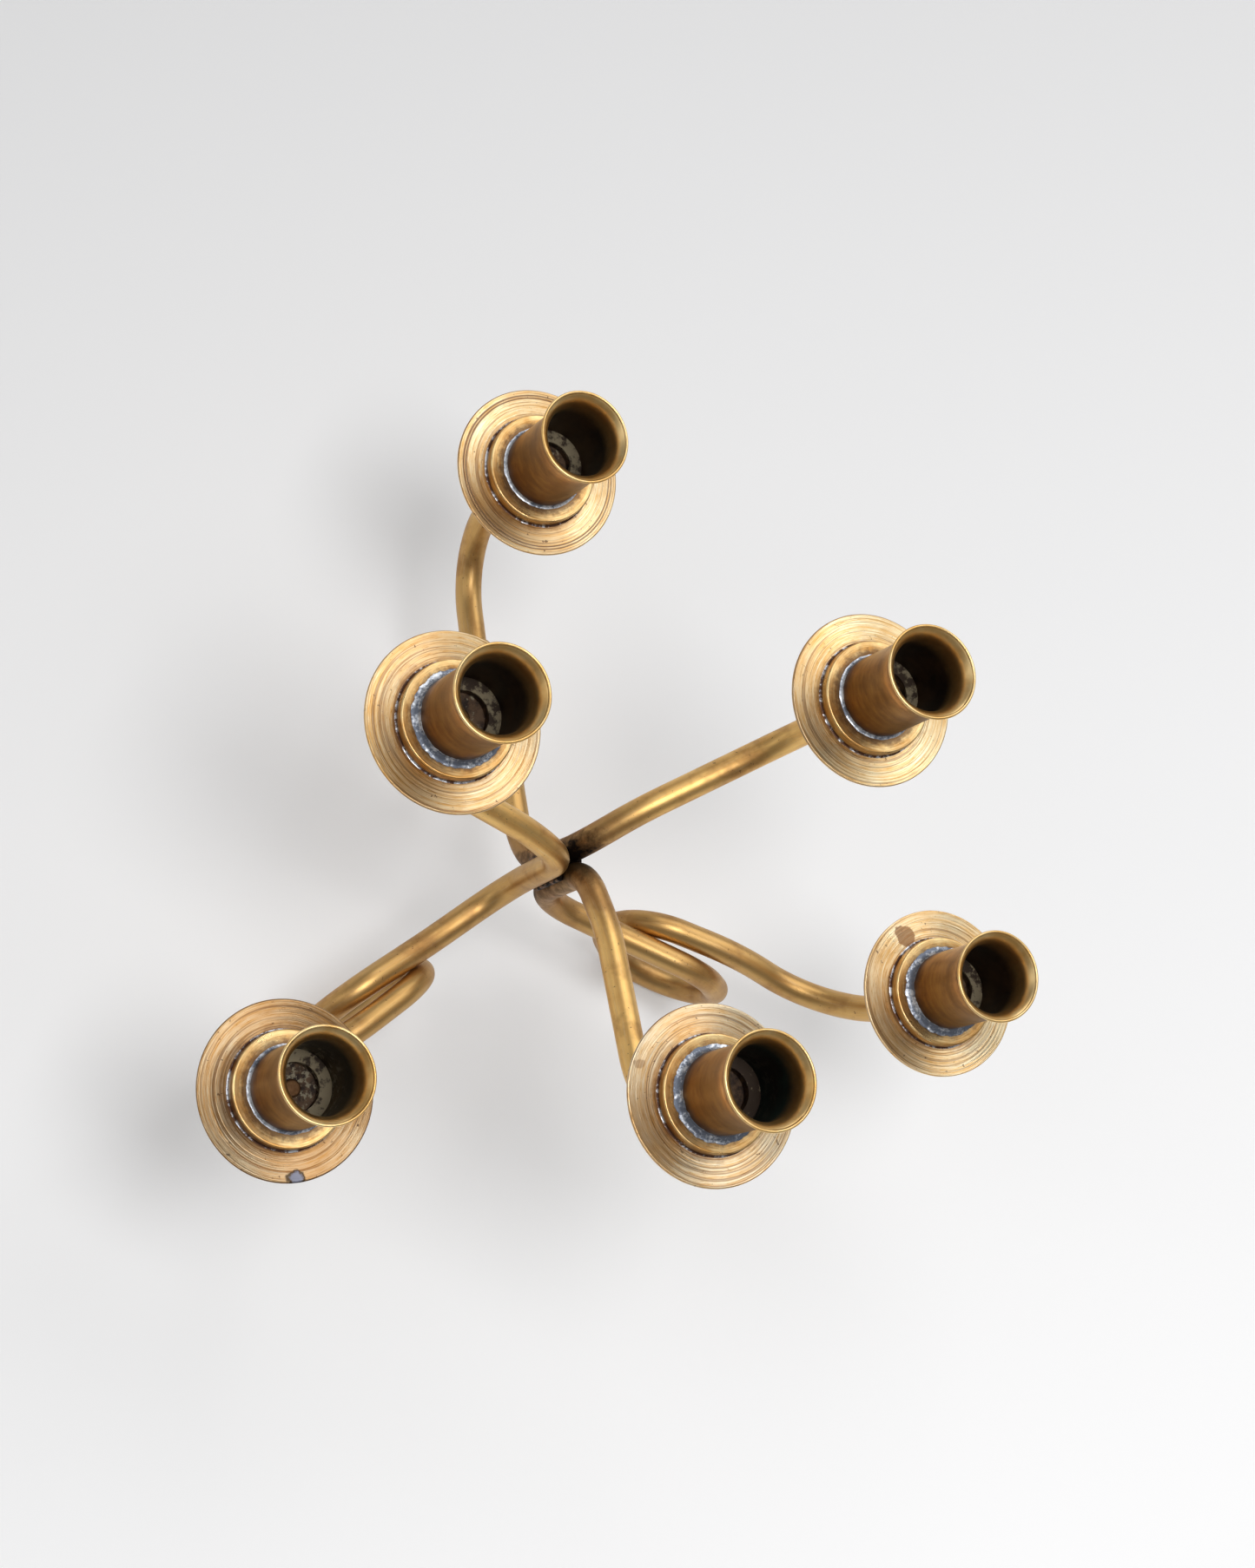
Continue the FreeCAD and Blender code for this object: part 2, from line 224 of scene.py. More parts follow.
def rodBrass(name, scorch):
    # drawn rod: streaks along it, cloudy tarnish, scorched where the rods are brazed together
    facts = rodFinish
    material, tree, shader = startMaterial(name)
    place = objectPlace(tree)
    x, y, along = splitVector(tree, attribute(tree, "drawn"))
    drawn = joinVector(tree, x, y, calc(tree, "MULTIPLY", along, facts["stretch"]))
    streaks = noise(tree, drawn, *facts["streaks"])
    clouds, blooms, specks, ragged = [noise(tree, place, *facts[kind])
                                      for kind in ("clouds", "blooms", "specks", "ragged")]
    tone = weigh(tree, (streaks, 0.4), (clouds, 0.6))
    colour = blend(tree, mask(tree, tone, facts["tone"]), patina["honey"], patina["orange"])
    colour = blend(tree, mask(tree, streaks, facts["shine"]), colour, patina["pale"])
    tarnish = mask(tree, weigh(tree, (clouds, 0.6), (blooms, 0.4)), facts["tarnish"])
    colour = blend(tree, tarnish, colour, patina["brown"])
    colour = blend(tree, mask(tree, specks, facts["pits"]), colour, patina["umber"])
    # the riveted end in the cup's floor is dirty and painted with the cup's shade; only that end was turned
    head = mask(tree, splitVector(tree, attribute(tree, "turned"))[2], facts["headHeight"], mm)
    dirtAndShade = blend(tree, mask(tree, specks, facts["dirtAndShade"]), *facts["dirtAndShadeHues"])
    colour = blend(tree, head, colour, dirtAndShade)
    # painted shade: darker towards the feet and near the dishes
    wander = wobble(tree, clouds, facts["wander"])
    height = add(tree, splitVector(tree, place)[2], wander)
    colour = blend(tree, mask(tree, height, facts["paintedShadeHeight"], mm), colour, patina["brown"])
    fromEnd = add(tree, splitVector(tree, attribute(tree, "ends"))[0], wander)
    colour = blend(tree, mask(tree, fromEnd, facts["paintedShadeLength"], mm), colour, patina["brown"])
    # scorch around the axis, between the bends
    near = add(tree, axisReach(tree, place), wobble(tree, ragged, facts["scorchWander"]))
    tanned = mask(tree, near, (*facts["tannedReach"], facts["tannedShare"] * scorch), mm)
    burnt = mask(tree, near, (*facts["burntReach"], scorch), mm)
    colour = blend(tree, tanned, colour, patina["brown"])
    colour = blend(tree, burnt, colour, patina["soot"])
    rough = add(tree, remap(tree, clouds, *facts["roughness"]),
                weigh(tree, (burnt, 0.3), (tarnish, 0.10), (head, 0.25)))
    relief = add(tree, calc(tree, "MULTIPLY", streaks, 0.4), calc(tree, "MULTIPLY", ragged, burnt))
    setSurface(tree, shader, colour, rough, relief, facts["relief"])
    return material


dishFinish = {"rings": (3400, 0.60, 3, 0.7), "scores": (2200, 0.4, 1, 0.5), "grain": (3600, 5.0, 3, 0.7),
              "clouds": (75, 4, 0.6), "specks": (700, 2, 0.55), "warmth": (34, 2, 0.5),
              "ragged": (420, 3, 0.6), "tone": (0.40, 0.62, 1), "warm": (0.45, 0.62, 0.42),
              "grainMarks": (0.58, 0.70, 0.5), "scoreMarks": (0.58, 0.64, 0.6), "pits": (0.68, 0.74, 0.8),
              "stainAndShadeReach": (18.2, 15.8, 0.70), "stainAndShadeWander": (3, 6), "grooveLength": (0.32, 0.12, 0.75),
              "blotWander": (2, 8), "blotEdge": 0.5, "anisotropic": 0.8,
              "roughness": (0.3, 0.7, 0.29, 0.40), "relief": (0.034, 0.6),
              "shifts": {"scores": 5.3, "rings": 3.1, "grain": 7.7}, "placeShift": (0.31, 0.17)}


def dishBrass(name, seed, shade, blots, grooves):
    # turned dish: rings of many widths, short tool grain, stain and painted shade round the collar, single
    # blots.
    # The seed shifts every pattern, so that no two dishes are alike
    facts = dishFinish
    material, tree, shader = startMaterial(name, anisotropic=facts["anisotropic"])
    turned = attribute(tree, "turned")
    reach = axisReach(tree, turned)
    scores, rings, grain = [ringNoise(tree, turned, *facts[kind], seed * shift)
                            for kind, shift in facts["shifts"].items()]
    shiftX, shiftY = facts["placeShift"]
    shifted = vectorCalc(tree, "ADD", turned, (seed * shiftX, seed * shiftY, 0))
    clouds, specks, warmth, ragged = [noise(tree, shifted, *facts[kind])
                                      for kind in ("clouds", "specks", "warmth", "ragged")]
    tone = weigh(tree, (rings, 0.42), (clouds, 0.22), (grain, 0.36))
    colour = blend(tree, mask(tree, tone, facts["tone"]), patina["cream"], patina["amber"])
    colour = blend(tree, mask(tree, warmth, facts["warm"]), colour, patina["orange"])
    colour = blend(tree, mask(tree, grain, facts["grainMarks"]), colour, patina["brown"])
    colour = blend(tree, mask(tree, scores, facts["scoreMarks"]), colour, patina["brown"])
    colour = blend(tree, mask(tree, specks, facts["pits"]), colour, patina["umber"])
    # a dark ring round the collar, partly stain and partly painted shade where the collar meets the dish
    raggedSwing, cloudSwing = facts["stainAndShadeWander"]
    edge = add(tree, reach, wobble(tree, ragged, raggedSwing), wobble(tree, clouds, cloudSwing))
    stainAndShade = mask(tree, edge, facts["stainAndShadeReach"], mm)
    colour = blend(tree, stainAndShade, colour, patina["brown"])
    # the whole dish darkened or lightened, partly tarnish and partly painted light and shade
    colour = blend(tree, 1.0, colour, shade, "MULTIPLY")
    for groove in grooves:
        apart = calc(tree, "ABSOLUTE", calc(tree, "SUBTRACT", reach, groove * mm))
        colour = blend(tree, mask(tree, apart, facts["grooveLength"], mm), colour, patina["umber"])
    raggedSwing, cloudSwing = facts["blotWander"]
    for x, y, size, hue, strength in blots:
        away = add(tree, vectorCalc(tree, "DISTANCE", turned, (x * mm, y * mm, 1 * mm)),
                   wobble(tree, clouds, cloudSwing), wobble(tree, ragged, raggedSwing))
        cover = mask(tree, away, (size, size - facts["blotEdge"], strength), mm)
        colour = blend(tree, cover, colour, patina[hue])
    rough = add(tree, remap(tree, clouds, *facts["roughness"]), calc(tree, "MULTIPLY", stainAndShade, 0.2))
    setSurface(tree, shader, colour, rough, weigh(tree, (rings, 0.5), (grain, 0.5)), facts["relief"])
    alongRings(tree, shader, turned)
    return material


collarFinish = {"rings": (1400, 1.4, 3, 0.6), "lines": (5600, 3.0, 2, 0.6), "clouds": (110, 3, 0.6),
                "ragged": (500, 3, 0.65), "scale": (330, 4, 0.7), "tone": (0.40, 0.60, 1),
                "lineMarks": (0.54, 0.68, 0.6), "wander": 4, "tubeReach": (14.8, 13.0, 0.75),
                "footHeight": (0.9, 0.5, 0.6), "insideReach": (10.8, 10.6, 1), "bare": (0.44, 0.54),
                "ledge": ((0.28, 0.23, 0.145), (0.045, 0.027, 0.016)), "hollowHeight": (7.8, 7.0, 1),
                "floorTone": (0.40, 0.60, 1), "floor": ((0.022, 0.011, 0.007), (0.13, 0.075, 0.040)),
                "chips": (0.60, 0.68, 1), "chipHue": (0.30, 0.26, 0.18), "insideMetal": 0.3,
                "footWander": 0.2, "crustBare": 0.10, "crustChips": 0.12, "anisotropic": 0.5,
                "roughness": (0.3, 0.7, 0.25, 0.38), "relief": (0.04, 0.5)}


def collarBrass(name, crust):
    # turned collar, stained where the solder has run, with painted shade at its foot and in its hollow;
    # crust is above 0 in a flaky cup, below 0 in a sooty one
    facts = collarFinish
    material, tree, shader = startMaterial(name, anisotropic=facts["anisotropic"])
    turned = attribute(tree, "turned")
    height = splitVector(tree, turned)[2]
    reach = axisReach(tree, turned)
    rings = ringNoise(tree, turned, *facts["rings"])
    lines = ringNoise(tree, turned, *facts["lines"])
    place = objectPlace(tree)
    clouds, ragged, scale = [noise(tree, place, *facts[kind]) for kind in ("clouds", "ragged", "scale")]
    tone = weigh(tree, (rings, 0.5), (clouds, 0.5))
    colour = blend(tree, mask(tree, tone, facts["tone"]), patina["pale"], patina["orange"])
    colour = blend(tree, mask(tree, lines, facts["lineMarks"]), colour, patina["brown"])
    # solder stain near the tube, painted shade on the foot where the collar meets the dish
    wander = wobble(tree, ragged, facts["wander"])
    nearTube = mask(tree, add(tree, reach, wander), facts["tubeReach"], mm)
    footHeight = add(tree, height, calc(tree, "MULTIPLY", wander, facts["footWander"]))
    shadedFoot = mask(tree, footHeight, facts["footHeight"], mm)
    stainAndShade = calc(tree, "MAXIMUM", nearTube, shadedFoot)
    colour = blend(tree, stainAndShade, colour, patina["umber"])
    # the floor of the cup: a dull ledge round a dark hollow, with soot and painted shade
    inside = mask(tree, reach, facts["insideReach"], mm)
    start, full = [level + facts["crustBare"] * crust for level in facts["bare"]]
    ledge = blend(tree, remap(tree, scale, start, full), *facts["ledge"])
    floor = blend(tree, mask(tree, scale, facts["floorTone"]), *facts["floor"])
    chips = mask(tree, add(tree, ragged, crust * facts["crustChips"]), facts["chips"])
    floor = blend(tree, chips, floor, facts["chipHue"])
    floor = blend(tree, mask(tree, height, facts["hollowHeight"], mm), ledge, floor)
    colour = blend(tree, inside, colour, floor)
    rough = add(tree, remap(tree, clouds, *facts["roughness"]), weigh(tree, (inside, 0.3), (stainAndShade, 0.15)))
    setSurface(tree, shader, colour, rough, weigh(tree, (rings, 0.6), (lines, 0.4)), facts["relief"])
    tree.links.new(remap(tree, inside, 0.0, 1.0, 1.0, facts["insideMetal"]), shader.inputs["Metallic"])
    alongRings(tree, shader, turned)
    return material


tubeFinish = {"rings": (600, 2.0, 3, 0.55), "clouds": (70, 4, 0.6), "ragged": (450, 3, 0.65),
              "tone": (0.40, 0.60, 1), "tarnishAndShadeHues": ((0.315, 0.155, 0.038), (0.18, 0.083, 0.021)),
              "wander": 4, "footHeight": (4.0, 0.8, 0.7), "wallMiddle": 10.9, "flareHeight": (22, 31, 1),
              "flareOut": 2.1, "wallEdge": 0.1, "mouthHeight": (29.8, 30.4, 1), "boreWear": 0.85,
              "polish": (0.42, 0.60, 1), "paintedShadeHeight": (30.5, 27.0, 1), "sootAndShadeHeight": (30.0, 19.5, 1),
              "grimeAndShadeTone": (0.40, 0.60, 1), "crustHeight": (17, 11), "chips": (0.52, 0.60, 1),
              "chipHue": (0.24, 0.22, 0.17), "sootAndShadeMetal": 0.65, "sootAndShadeWander": 0.6,
              "wornRough": 0.03, "boreRough": 0.20, "anisotropic": 0.35,
              "roughness": (0.3, 0.7, 0.31, 0.42), "relief": (0.03, 0.4)}


def tubeBrass(name, grimeAndShadeDark, grimeAndShadeLight, crust):
    # smooth drawn tube, darker than the rods with tarnish and painted shade, bright on its worn mouth,
    # with soot and painted shade down the bore
    facts = tubeFinish
    material, tree, shader = startMaterial(name, anisotropic=facts["anisotropic"])
    turned = attribute(tree, "turned")
    height = splitVector(tree, turned)[2]
    rings = ringNoise(tree, turned, *facts["rings"])
    place = objectPlace(tree)
    clouds = noise(tree, place, *facts["clouds"])
    ragged = noise(tree, place, *facts["ragged"])
    # the outer wall's brass is darkened, partly tarnish and partly painted shade
    tone = weigh(tree, (rings, 0.35), (clouds, 0.65))
    colour = blend(tree, mask(tree, tone, facts["tone"]), *facts["tarnishAndShadeHues"])
    wander = wobble(tree, ragged, facts["wander"])
    foot = mask(tree, add(tree, height, wander), facts["footHeight"], mm)
    colour = blend(tree, foot, colour, patina["umber"])
    # the bore is the surface nearer the axis than the middle of the wall at that height
    flare = mask(tree, height, facts["flareHeight"], mm)
    swell = calc(tree, "MULTIPLY", calc(tree, "MULTIPLY", flare, flare), facts["flareOut"] * mm)
    depth = calc(tree, "SUBTRACT", add(tree, facts["wallMiddle"] * mm, swell), axisReach(tree, turned))
    inside = mask(tree, depth, (-facts["wallEdge"], facts["wallEdge"], 1), mm)
    # worn bright on the mouth; painted shade makes it duller and redder down the bore
    worn = calc(tree, "MAXIMUM", mask(tree, height, facts["mouthHeight"], mm),
                calc(tree, "MULTIPLY", inside, facts["boreWear"]))
    shadedInside = mask(tree, height, facts["paintedShadeHeight"], mm)
    polish = mask(tree, clouds, facts["polish"])
    bright = blend(tree, polish, patina["pale"], patina["gold"])
    bore = blend(tree, polish, patina["gold"], patina["orange"])
    bright = blend(tree, calc(tree, "MULTIPLY", inside, shadedInside), bright, bore)
    colour = blend(tree, worn, colour, bright)
    # soot and painted shade, darker deeper down the bore
    sootAndShadeHeight = add(tree, height, calc(tree, "MULTIPLY", wander, facts["sootAndShadeWander"]))
    sootAndShade = calc(tree, "MULTIPLY", inside, mask(tree, sootAndShadeHeight, facts["sootAndShadeHeight"], mm, smooth=True))
    grimeAndShade = blend(tree, mask(tree, clouds, facts["grimeAndShadeTone"]), grimeAndShadeDark, grimeAndShadeLight)
    low = mask(tree, height, (*facts["crustHeight"], crust), mm)
    chips = calc(tree, "MULTIPLY", mask(tree, ragged, facts["chips"]), low)
    grimeAndShade = blend(tree, chips, grimeAndShade, facts["chipHue"])
    colour = blend(tree, sootAndShade, colour, grimeAndShade)
    rough = calc(tree, "SUBTRACT", remap(tree, clouds, *facts["roughness"]),
                 calc(tree, "MULTIPLY", worn, facts["wornRough"]))
    dullBore = calc(tree, "MULTIPLY", calc(tree, "MULTIPLY", inside, facts["boreRough"]), shadedInside)
    rough = add(tree, rough, dullBore)
    relief = calc(tree, "MULTIPLY", rings, calc(tree, "SUBTRACT", 1.0, worn))
    setSurface(tree, shader, colour, rough, relief, facts["relief"])
    tree.links.new(remap(tree, sootAndShade, 0.0, 1.0, 1.0, facts["sootAndShadeMetal"]), shader.inputs["Metallic"])
    alongRings(tree, shader, turned)
    return material


solderFinish = {"clouds": (210, 3, 0.6), "grit": (1100, 3, 0.65), "roughness": (0.4, 0.6, 0.38, 0.58),
                "relief": (0.06, 0.5)}


def softSolder(name, aged, band):
    # bare where it has flowed, darker where flux has burnt on it
    facts = solderFinish
    material, tree, shader = startMaterial(name)
    place = objectPlace(tree)
    grit = noise(tree, place, *facts["grit"])
    tone = weigh(tree, (noise(tree, place, *facts["clouds"]), 0.6), (grit, 0.4))
    colour = blend(tree, mask(tree, tone, band), patina["silver"], patina[aged])
    rough = remap(tree, tone, *facts["roughness"])
    setSurface(tree, shader, colour, rough, grit, facts["relief"])
    return material


brazeFinish = {"clouds": (380, 4, 0.65), "tone": (0.48, 0.64, 1), "roughness": (0.4, 0.6, 0.7, 0.45),
               "relief": (0.2, 0.7)}


def scorchedBraze():
    # braze in the grooves between the rods, burnt and crusted
    facts = brazeFinish
    material, tree, shader = startMaterial("scorchedBraze")
    clouds = noise(tree, objectPlace(tree), *facts["clouds"])
    colour = blend(tree, mask(tree, clouds, facts["tone"]), patina["soot"], patina["brown"])
    rough = remap(tree, clouds, *facts["roughness"])
    setSurface(tree, shader, colour, rough, clouds, facts["relief"])
    return material


finishes = {"braze": scorchedBraze(),
            "wideSolder": softSolder("wideSolder", "lead", (0.40, 0.52, 1)),
            "thinSolder": softSolder("thinSolder", "lead", (0.44, 0.58, 1)),
            "cornerSolder": softSolder("cornerSolder", "umber", (0.41, 0.51, 1))}
print("materials made")


# geometry trees. Unevenness patterns are (scale, detail, roughness) of a noise

uneven = {"solder": (1.0, 3.0, 0.6), "rod": (40.0, 2.0, 0.5), "bead": (450.0, 3.0, 0.6)}


def startTree(name, inputs):
    tree = bpy.data.node_groups.new(name, "GeometryNodeTree")
    tree.interface.new_socket(name="Geometry", in_out="INPUT", socket_type="NodeSocketGeometry")
    for label, kind in inputs:
        tree.interface.new_socket(name=label, in_out="INPUT", socket_type=f"NodeSocket{kind}")
    tree.interface.new_socket(name="Geometry", in_out="OUTPUT", socket_type="NodeSocketGeometry")
    return tree, tree.nodes.new("NodeGroupInput").outputs


def endTree(tree, geometry, material):
    solid = addNode(tree, "GeometryNodeRealizeInstances", {"Geometry": geometry}).outputs[0]
    values = {"Geometry": solid, "Material": material}
    finished = addNode(tree, "GeometryNodeSetMaterial", values).outputs[0]
    tree.links.new(finished, tree.nodes.new("NodeGroupOutput").inputs[0])
    return tree


def position(tree):
    return tree.nodes.new("GeometryNodeInputPosition").outputs[0]


def store(tree, geometry, name, value):
    values = {"Geometry": geometry, "Name": name, "Value": value}
    return addNode(tree, "GeometryNodeStoreNamedAttribute", values, data_type="FLOAT_VECTOR").outputs[0]


def resample(tree, curve, step):
    values = {"Curve": curve, "Length": step}
    return addNode(tree, "GeometryNodeResampleCurve", values, mode="LENGTH").outputs[0]


def ring(tree, sides, radius):
    values = {"Resolution": sides, "Radius": radius}
    return addNode(tree, "GeometryNodeCurvePrimitiveCircle", values).outputs[0]


def swellOut(tree, solid, pattern, seed, amount):
    # moves the surface in and out along its normals
    normal = tree.nodes.new("GeometryNodeInputNormal").outputs[0]
    swing = calc(tree, "SUBTRACT", noise(tree, position(tree), *pattern, seed), 0.5)
    values = {0: normal, "Scale": calc(tree, "MULTIPLY", swing, amount)}
    offset = addNode(tree, "ShaderNodeVectorMath", values, operation="SCALE").outputs[0]
    return addNode(tree, "GeometryNodeSetPosition", {"Geometry": solid, "Offset": offset}).outputs[0]


def turningTree():
    # turns an outline about the cup's axis; unevenness swells what lies beyond the anchor radius
    tree, given = startTree("turning", [
        ("Segments", "Int"), ("Closed", "Int"), ("Centre", "Vector"), ("Anchor Radius", "Float"),
        ("Unevenness", "Float"), ("Waves", "Float"), ("Out Of Round", "Float"), ("Mouth Height", "Float"),
        ("Seed", "Float"), ("Material", "Material")])
    outline = given["Geometry"]
    count = addNode(tree, "GeometryNodeAttributeDomainSize", {"Geometry": outline}).outputs["Point Count"]
    rows = add(tree, count, given["Closed"])
    columns = add(tree, given["Segments"], 1.0)
    values = {"Vertices X": columns, "Vertices Y": rows}
    grid = addNode(tree, "GeometryNodeMeshGrid", values).outputs["Mesh"]
    # which row and column each vertex of the grid is in; the last row of a closed outline is its first
    index = tree.nodes.new("GeometryNodeInputIndex").outputs[0]
    column = calc(tree, "FLOOR", calc(tree, "DIVIDE", add(tree, index, 0.5), rows))
    row = calc(tree, "SUBTRACT", index, calc(tree, "MULTIPLY", column, rows))
    row = calc(tree, "MODULO", calc(tree, "ROUND", row), count)
    values = {"Geometry": outline, "Value": position(tree), "Index": row}
    sampled = addNode(tree, "GeometryNodeSampleIndex", values, data_type="FLOAT_VECTOR")
    outlinePoint = splitVector(tree, sampled.outputs[0])
    radius, height = outlinePoint[0], outlinePoint[2]
    angle = calc(tree, "MULTIPLY", calc(tree, "DIVIDE", column, given["Segments"]), 2 * math.pi)
    cosine = calc(tree, "COSINE", angle)
    sine = calc(tree, "SINE", angle)
    waves = joinVector(tree, given["Waves"], given["Waves"])
    around = vectorCalc(tree, "MULTIPLY", joinVector(tree, cosine, sine), waves)
    swing = calc(tree, "SUBTRACT", noise(tree, around, *uneven["solder"], given["Seed"]), 0.5)
    swell = calc(tree, "MULTIPLY_ADD", calc(tree, "MULTIPLY", swing, 2.0), given["Unevenness"], 1.0)
    beyond = calc(tree, "SUBTRACT", radius, given["Anchor Radius"])
    radius = calc(tree, "MULTIPLY_ADD", beyond, swell, given["Anchor Radius"])
    height = calc(tree, "MULTIPLY", height, swell)
    # a little oval towards the mouth
    mouth = calc(tree, "POWER", calc(tree, "DIVIDE", height, given["Mouth Height"]), 3.0)
    oval = calc(tree, "COSINE", calc(tree, "MULTIPLY_ADD", angle, 2.0, given["Seed"]))
    oval = calc(tree, "MULTIPLY", calc(tree, "MULTIPLY", oval, mouth), given["Out Of Round"])
    radius = add(tree, radius, oval)
    x, y = calc(tree, "MULTIPLY", radius, cosine), calc(tree, "MULTIPLY", radius, sine)
    place = joinVector(tree, x, y, height)
    shell = store(tree, grid, "turned", place)
    values = {"Geometry": shell, "Position": vectorCalc(tree, "ADD", place, given["Centre"])}
    shell = addNode(tree, "GeometryNodeSetPosition", values).outputs[0]
    values = {"Geometry": shell, "Distance": 0.001 * mm}
    shell = addNode(tree, "GeometryNodeMergeByDistance", values).outputs[0]
    return endTree(tree, shell, given["Material"])


def rodTree():
    # rounds the corners of a route and carries the rod's section along it
    tree, given = startTree("bentRod", [
        ("Rod Radius", "Float"), ("Corner Steps", "Int"), ("Step", "Float"), ("Sides", "Int"),
        ("Hand Work", "Float"), ("Seed", "Float"), ("Material", "Material")])
    bend = tree.nodes.new("GeometryNodeInputRadius").outputs[0]
    values = {"Curve": given["Geometry"], "Radius": bend, "Count": given["Corner Steps"],
              "Limit Radius": True}
    rounded = addNode(tree, "GeometryNodeFilletCurve", values, mode="POLY").outputs[0]
    values = {"Curve": resample(tree, rounded, given["Step"]), "Radius": 1.0}
    path = addNode(tree, "GeometryNodeSetCurveRadius", values).outputs[0]
    along = tree.nodes.new("GeometryNodeSplineParameter").outputs["Length"]
    whole = tree.nodes.new("GeometryNodeSplineLength").outputs["Length"]
    nearerEnd = calc(tree, "MINIMUM", along, calc(tree, "SUBTRACT", whole, along))
    path = store(tree, path, "along", joinVector(tree, 0.0, 0.0, along))
    path = store(tree, path, "ends", joinVector(tree, nearerEnd))
    section = ring(tree, given["Sides"], given["Rod Radius"])
    section = store(tree, section, "round", vectorCalc(tree, "NORMALIZE", position(tree)))
    values = {"Curve": path, "Profile Curve": section, "Fill Caps": True}
    solid = addNode(tree, "GeometryNodeCurveToMesh", values).outputs[0]
    along, around = [addNode(tree, "GeometryNodeInputNamedAttribute", {"Name": name},
                             data_type="FLOAT_VECTOR").outputs[0] for name in ("along", "round")]
    solid = store(tree, solid, "drawn", vectorCalc(tree, "ADD", along, around))
    solid = swellOut(tree, solid, uneven["rod"], given["Seed"], given["Hand Work"])
    return endTree(tree, solid, given["Material"])


def beadTree():
    # a lumpy bead laid along a line, thin at both ends
    tree, given = startTree("bead", [
        ("Bead Radius", "Float"), ("Thin End", "Float"), ("Step", "Float"), ("Sides", "Int"),
        ("Lumps", "Float"), ("Seed", "Float"), ("Material", "Material")])
    path = resample(tree, given["Geometry"], given["Step"])
    share = tree.nodes.new("GeometryNodeSplineParameter").outputs["Factor"]
    ends = calc(tree, "SQRT", calc(tree, "MULTIPLY", calc(tree, "SUBTRACT", 1.0, share), share))
    ends = remap(tree, ends, 0.0, 0.22, given["Thin End"], 1.0)
    path = addNode(tree, "GeometryNodeSetCurveRadius", {"Curve": path, "Radius": ends}).outputs[0]
    section = ring(tree, given["Sides"], given["Bead Radius"])
    values = {"Curve": path, "Profile Curve": section, "Scale": ends, "Fill Caps": True}
    solid = addNode(tree, "GeometryNodeCurveToMesh", values).outputs[0]
    solid = swellOut(tree, solid, uneven["bead"], given["Seed"], given["Lumps"])
    return endTree(tree, solid, given["Material"])


trees = {"turning": turningTree(), "rod": rodTree(), "bead": beadTree()}
print("geometry trees made")


# pieces

def bake(source, tree, values):
    # runs a tree on an object and returns the plain mesh that comes out
    modifier = source.modifiers.new("shape", "NODES")
    modifier.node_group = tree
    for item in tree.interface.items_tree:
        if item.in_out == "INPUT" and item.name in values:
            modifier[item.identifier] = values[item.name]
    scene.collection.objects.link(source)
    bpy.context.view_layer.update()
    graph = bpy.context.evaluated_depsgraph_get()
    shaped = source.evaluated_get(graph)
    mesh = bpy.data.meshes.new_from_object(shaped, preserve_all_data_layers=True, depsgraph=graph)
    source.modifiers.clear()
    bpy.data.objects.remove(source)
    return mesh


def faceOut(mesh):
    # turns every face outwards
    shape = bmesh.new()
    shape.from_mesh(mesh)
    bmesh.ops.recalc_face_normals(shape, faces=shape.faces)
    if shape.calc_volume(signed=True) < 0:
        bmesh.ops.reverse_faces(shape, faces=shape.faces)
    shape.to_mesh(mesh)
    shape.free()


def addPiece(name, meshes, node, sharp=35):
    shape = bmesh.new()
    for mesh in meshes:
        faceOut(mesh)
        shape.from_mesh(mesh)
    whole = meshes[0]
    shape.to_mesh(whole)
    shape.free()
    whole.shade_smooth()
    whole.set_sharp_from_angle(angle=math.radians(sharp))
    piece = bpy.data.objects.new(name, whole)
    scene.collection.objects.link(piece)
    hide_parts(node)
    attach(piece, "root")


def outlineObject(points):
    # an outline of (radius, height) points in millimetres, as a mesh of single vertices
    mesh = bpy.data.meshes.new("outline")
    mesh.from_pydata([(x * mm, 0, z * mm) for x, z in points], [], [])
    return bpy.data.objects.new("outline", mesh)


def arc(centre, radius, start, end, count):
    angles = [math.radians(start + (end - start) * step / count) for step in range(count + 1)]
    return [(centre[0] + radius * math.cos(a), centre[1] + radius * math.sin(a)) for a in angles]


def run(start, end, step):
    # points along a straight side, without its last one
    length = math.dist(start, end)
    count = max(1, round(length / step))
    return [(start[0] + (end[0] - start[0]) * n / count, start[1] + (end[1] - start[1]) * n / count)
            for n in range(count)]


cup = {"tubeRadius": 11.5, "tubeWall": 1.2, "seatRelief": 0.3, "collarHeight": 3.7, "spigotHeight": 4.3,
       "seatGap": 0.05, "tenonHole": 2.55, "segments": 256}


def measure(node):
    # a node's middle, its lowest and highest corners, and its radius and height in millimetres
    low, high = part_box(node)
    return (low + high) / 2, low, high, (high.x - low.x) / 2 / mm, (high.z - low.z) / mm


def turn(outline, centre, material, closed=True, anchor=0.0, uneven=0.0, waves=1.0, outOfRound=0.0,
         mouth=1.0, seed=0.0, segments=cup["segments"]):
    values = {"Segments": segments, "Closed": int(closed), "Centre": tuple(centre),
              "Anchor Radius": anchor * mm, "Unevenness": float(uneven), "Waves": float(waves),
              "Out Of Round": outOfRound * mm, "Mouth Height": mouth * mm, "Seed": float(seed),
              "Material": material}
    return bake(outlineObject(outline), trees["turning"], values)


